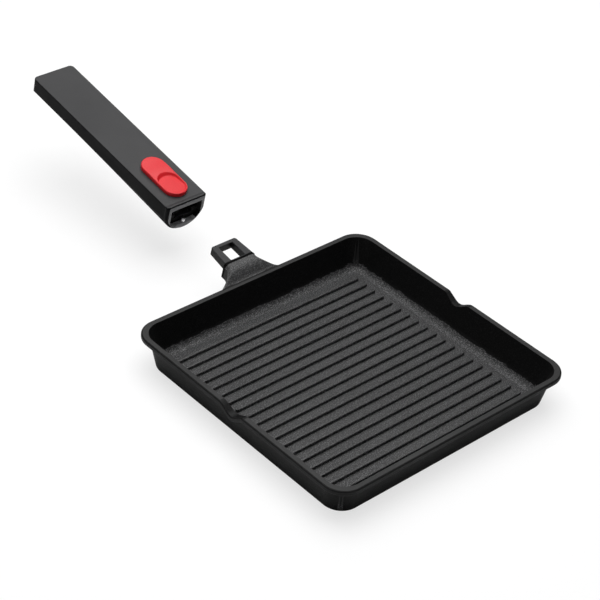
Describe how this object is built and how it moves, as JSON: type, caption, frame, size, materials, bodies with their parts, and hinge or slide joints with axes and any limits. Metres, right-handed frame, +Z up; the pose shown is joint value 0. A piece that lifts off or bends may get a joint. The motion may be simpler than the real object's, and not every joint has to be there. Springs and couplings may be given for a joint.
{
  "type": "grill pan with draw-off grip",
  "caption": "Square black cast grill pan with pouring spouts and ribs; its grip slides off a loop on the lug when the red thumb button is pushed forward.",
  "frame": {"origin": "middle of the base, on the surface that the pan stands on", "axes": "+Z up, +Y from the pan towards its lug and grip, +X to the right"},
  "size_m": [0.24, 0.5154, 0.0913],
  "materials": {
    "cast_coating": "speckled non-stick coating",
    "base_steel": "brushed in circles",
    "gloss_black": "glossy",
    "loop_paint": "satin",
    "grip_satin": "soft satin",
    "grip_dark": "soft satin",
    "bezel_grey": "satin",
    "channel_steel": "plain",
    "button_red": "half gloss",
    "inner_plastic": "plain",
    "screw_steel": "bright",
    "spring_steel": "bright"
  },
  "bodies": {
    "pan": {"pan_casting": "cast_coating", "base_plate": "base_steel", "lug_seal": "gloss_black", "lug_loop": "loop_paint", "lug_screws": "screw_steel"},
    "handle": {"grip_top": "grip_satin", "grip_belly": "grip_dark", "mouth_bezel": "bezel_grey", "mouth_stud": "screw_steel", "socket_channel": "channel_steel", "button_spring": "spring_steel", "spring_guide": "screw_steel", "lever_pin": "screw_steel", "latch_spring": "spring_steel", "shell_screws": "screw_steel"},
    "button": {"thumb_button": "button_red", "button_carrier": "inner_plastic", "button_screw": "screw_steel"},
    "latch": {"latch_lever": "channel_steel"}
  },
  "joints": [
    {"name": "handle_slide", "type": "slide", "parent": "pan", "child": "handle", "axis": [0, 0.9848, 0.1736], "range_m": [-0.06825, 0]},
    {"name": "button_slide", "type": "slide", "parent": "handle", "child": "button", "axis": [0, 0.9848, 0.1736], "range_m": [0, 0.008], "stiffness_N_per_m": 250, "springref_m": 0.01},
    {"name": "latch_pivot", "type": "hinge", "parent": "handle", "child": "latch", "pos_m": [0, 0.25934, 0.04826], "axis": [1, 0, 0], "range_deg": [-7, 0]}
  ],
  "couplings": [
    {"joint": "latch_pivot", "follows": "button_slide", "rad_per_m": -15.272}
  ]
}
